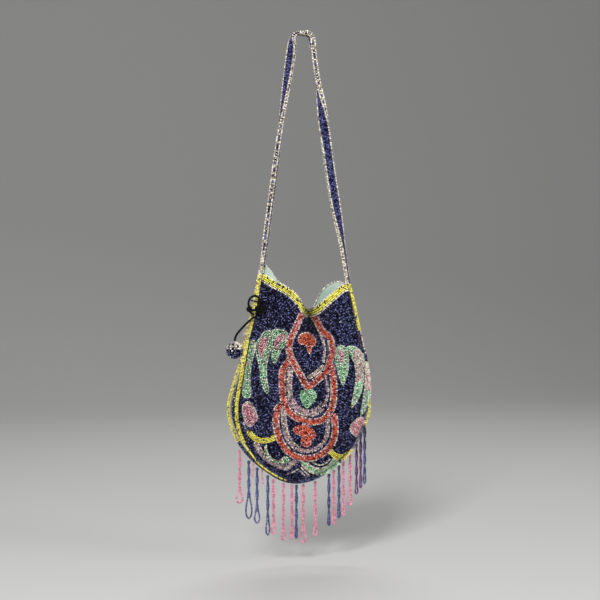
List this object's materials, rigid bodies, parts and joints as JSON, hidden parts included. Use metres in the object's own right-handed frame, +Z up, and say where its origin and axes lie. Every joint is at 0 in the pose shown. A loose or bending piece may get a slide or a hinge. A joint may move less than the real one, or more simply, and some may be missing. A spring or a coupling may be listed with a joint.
{
  "type": "beaded purse",
  "caption": "Soft pouch purse covered in seed beads, with a dipped lined mouth, a long flat bead strap, twisted bead fringe along the bottom and a bead ball on a cord.",
  "frame": {"origin": "middle of the strap's underside at its highest stretch, where the purse hangs", "axes": "+Z up, front of the purse faces -Y, +X to the right seen from the front"},
  "size_m": [0.1598, 0.051, 0.5437],
  "materials": {
    "navy_beads": "glossy seed beads, deep navy",
    "yellow_beads": "glossy seed beads, lemon yellow",
    "cream_beads": "glossy seed beads, cream",
    "red_beads": "glossy seed beads, brick red",
    "green_beads": "glossy seed beads, sea green",
    "pink_beads": "glossy seed beads, rose pink",
    "lilac_beads": "lined seed beads, greyish lilac",
    "fringe_pink": "glossy seed beads on thread, pink",
    "fringe_navy": "glossy seed beads on thread, navy",
    "satin": "smooth satin lining, pale aqua",
    "dark_cloth": "plain woven cloth, dark",
    "black_cord": "round thread cord, black"
  },
  "bodies": {
    "bag": {"front_panel": "navy_beads", "back_panel": "navy_beads", "lining_front": "satin", "lining_back": "satin", "mouth_band_front": "yellow_beads", "mouth_band_back": "yellow_beads", "mouth_piping_front": "cream_beads", "mouth_piping_back": "cream_beads", "edging_front": "yellow_beads", "edging_back": "yellow_beads", "seam_gusset": "dark_cloth", "oval_top": "red_beads", "oval_middle": "red_beads", "oval_low": "red_beads", "inner_ring_middle": "lilac_beads", "inner_ring_low": "lilac_beads", "flower_top": "red_beads", "shield_middle": "green_beads", "flower_low": "red_beads", "plume_left_1": "green_beads", "plume_left_2": "green_beads", "plume_left_3": "green_beads", "plume_right_1": "green_beads", "plume_right_2": "green_beads", "plume_right_3": "green_beads", "bud_left": "pink_beads", "bud_right": "pink_beads", "scallop_yellow_left": "yellow_beads", "scallop_yellow_right": "yellow_beads", "scallop_green_left": "green_beads", "scallop_green_right": "green_beads", "strap_band": "navy_beads", "strap_edge_front": "cream_beads", "strap_edge_back": "cream_beads", "fringe_stub_1": "fringe_pink", "fringe_stub_2": "fringe_pink", "cord_loop": "black_cord", "cord_knot": "black_cord", "pendant_cord": "black_cord", "pendant_ball": "navy_beads"},
    "fringe_01": {"fringe_01": "fringe_pink"},
    "fringe_02": {"fringe_02": "fringe_navy"},
    "fringe_03": {"fringe_03": "fringe_navy"},
    "fringe_04": {"fringe_04": "fringe_navy"},
    "fringe_05": {"fringe_05": "fringe_pink"},
    "fringe_06": {"fringe_06": "fringe_pink"},
    "fringe_07": {"fringe_07": "fringe_pink"},
    "fringe_08": {"fringe_08": "fringe_navy"},
    "fringe_09": {"fringe_09": "fringe_pink"},
    "fringe_10": {"fringe_10": "fringe_pink"},
    "fringe_11": {"fringe_11": "fringe_navy"},
    "fringe_12": {"fringe_12": "fringe_pink"},
    "fringe_13": {"fringe_13": "fringe_navy"},
    "fringe_14": {"fringe_14": "fringe_pink"},
    "fringe_15": {"fringe_15": "fringe_pink"},
    "fringe_16": {"fringe_16": "fringe_navy"},
    "fringe_17": {"fringe_17": "fringe_navy"},
    "fringe_18": {"fringe_18": "fringe_navy"}
  },
  "joints": [
    {"name": "fringe_01_swing", "type": "hinge", "parent": "bag", "child": "fringe_01", "pos_m": [-0.06682, 0.00552, -0.43606], "axis": [1, 0, 0], "range_deg": [-60, 60]},
    {"name": "fringe_02_swing", "type": "hinge", "parent": "bag", "child": "fringe_02", "pos_m": [-0.05708, 0.00449, -0.44792], "axis": [1, 0, 0], "range_deg": [-60, 60]},
    {"name": "fringe_03_swing", "type": "hinge", "parent": "bag", "child": "fringe_03", "pos_m": [-0.04822, 0.00386, -0.45552], "axis": [1, 0, 0], "range_deg": [-60, 60]},
    {"name": "fringe_04_swing", "type": "hinge", "parent": "bag", "child": "fringe_04", "pos_m": [-0.03668, 0.00321, -0.46416], "axis": [1, 0, 0], "range_deg": [-60, 60]},
    {"name": "fringe_05_swing", "type": "hinge", "parent": "bag", "child": "fringe_05", "pos_m": [-0.03065, 0.00299, -0.46804], "axis": [1, 0, 0], "range_deg": [-60, 60]},
    {"name": "fringe_06_swing", "type": "hinge", "parent": "bag", "child": "fringe_06", "pos_m": [-0.0198, 0.00281, -0.47315], "axis": [1, 0, 0], "range_deg": [-60, 60]},
    {"name": "fringe_07_swing", "type": "hinge", "parent": "bag", "child": "fringe_07", "pos_m": [-0.01045, 0.0028, -0.47522], "axis": [1, 0, 0], "range_deg": [-60, 60]},
    {"name": "fringe_08_swing", "type": "hinge", "parent": "bag", "child": "fringe_08", "pos_m": [-0.00546, 0.0028, -0.47555], "axis": [1, 0, 0], "range_deg": [-60, 60]},
    {"name": "fringe_09_swing", "type": "hinge", "parent": "bag", "child": "fringe_09", "pos_m": [0.00227, 0.0028, -0.47539], "axis": [1, 0, 0], "range_deg": [-60, 60]},
    {"name": "fringe_10_swing", "type": "hinge", "parent": "bag", "child": "fringe_10", "pos_m": [0.0155, 0.00282, -0.47254], "axis": [1, 0, 0], "range_deg": [-60, 60]},
    {"name": "fringe_11_swing", "type": "hinge", "parent": "bag", "child": "fringe_11", "pos_m": [0.0308, 0.00314, -0.46534], "axis": [1, 0, 0], "range_deg": [-60, 60]},
    {"name": "fringe_12_swing", "type": "hinge", "parent": "bag", "child": "fringe_12", "pos_m": [0.03622, 0.00339, -0.4616], "axis": [1, 0, 0], "range_deg": [-60, 60]},
    {"name": "fringe_13_swing", "type": "hinge", "parent": "bag", "child": "fringe_13", "pos_m": [0.04227, 0.00374, -0.45692], "axis": [1, 0, 0], "range_deg": [-60, 60]},
    {"name": "fringe_14_swing", "type": "hinge", "parent": "bag", "child": "fringe_14", "pos_m": [0.04724, 0.00408, -0.45289], "axis": [1, 0, 0], "range_deg": [-60, 60]},
    {"name": "fringe_15_swing", "type": "hinge", "parent": "bag", "child": "fringe_15", "pos_m": [0.05493, 0.00468, -0.44574], "axis": [1, 0, 0], "range_deg": [-60, 60]},
    {"name": "fringe_16_swing", "type": "hinge", "parent": "bag", "child": "fringe_16", "pos_m": [0.06254, 0.00568, -0.43439], "axis": [1, 0, 0], "range_deg": [-60, 60]},
    {"name": "fringe_17_swing", "type": "hinge", "parent": "bag", "child": "fringe_17", "pos_m": [0.06752, 0.00667, -0.4242], "axis": [1, 0, 0], "range_deg": [-60, 60]},
    {"name": "fringe_18_swing", "type": "hinge", "parent": "bag", "child": "fringe_18", "pos_m": [0.07251, 0.00814, -0.41099], "axis": [1, 0, 0], "range_deg": [-60, 60]}
  ]
}
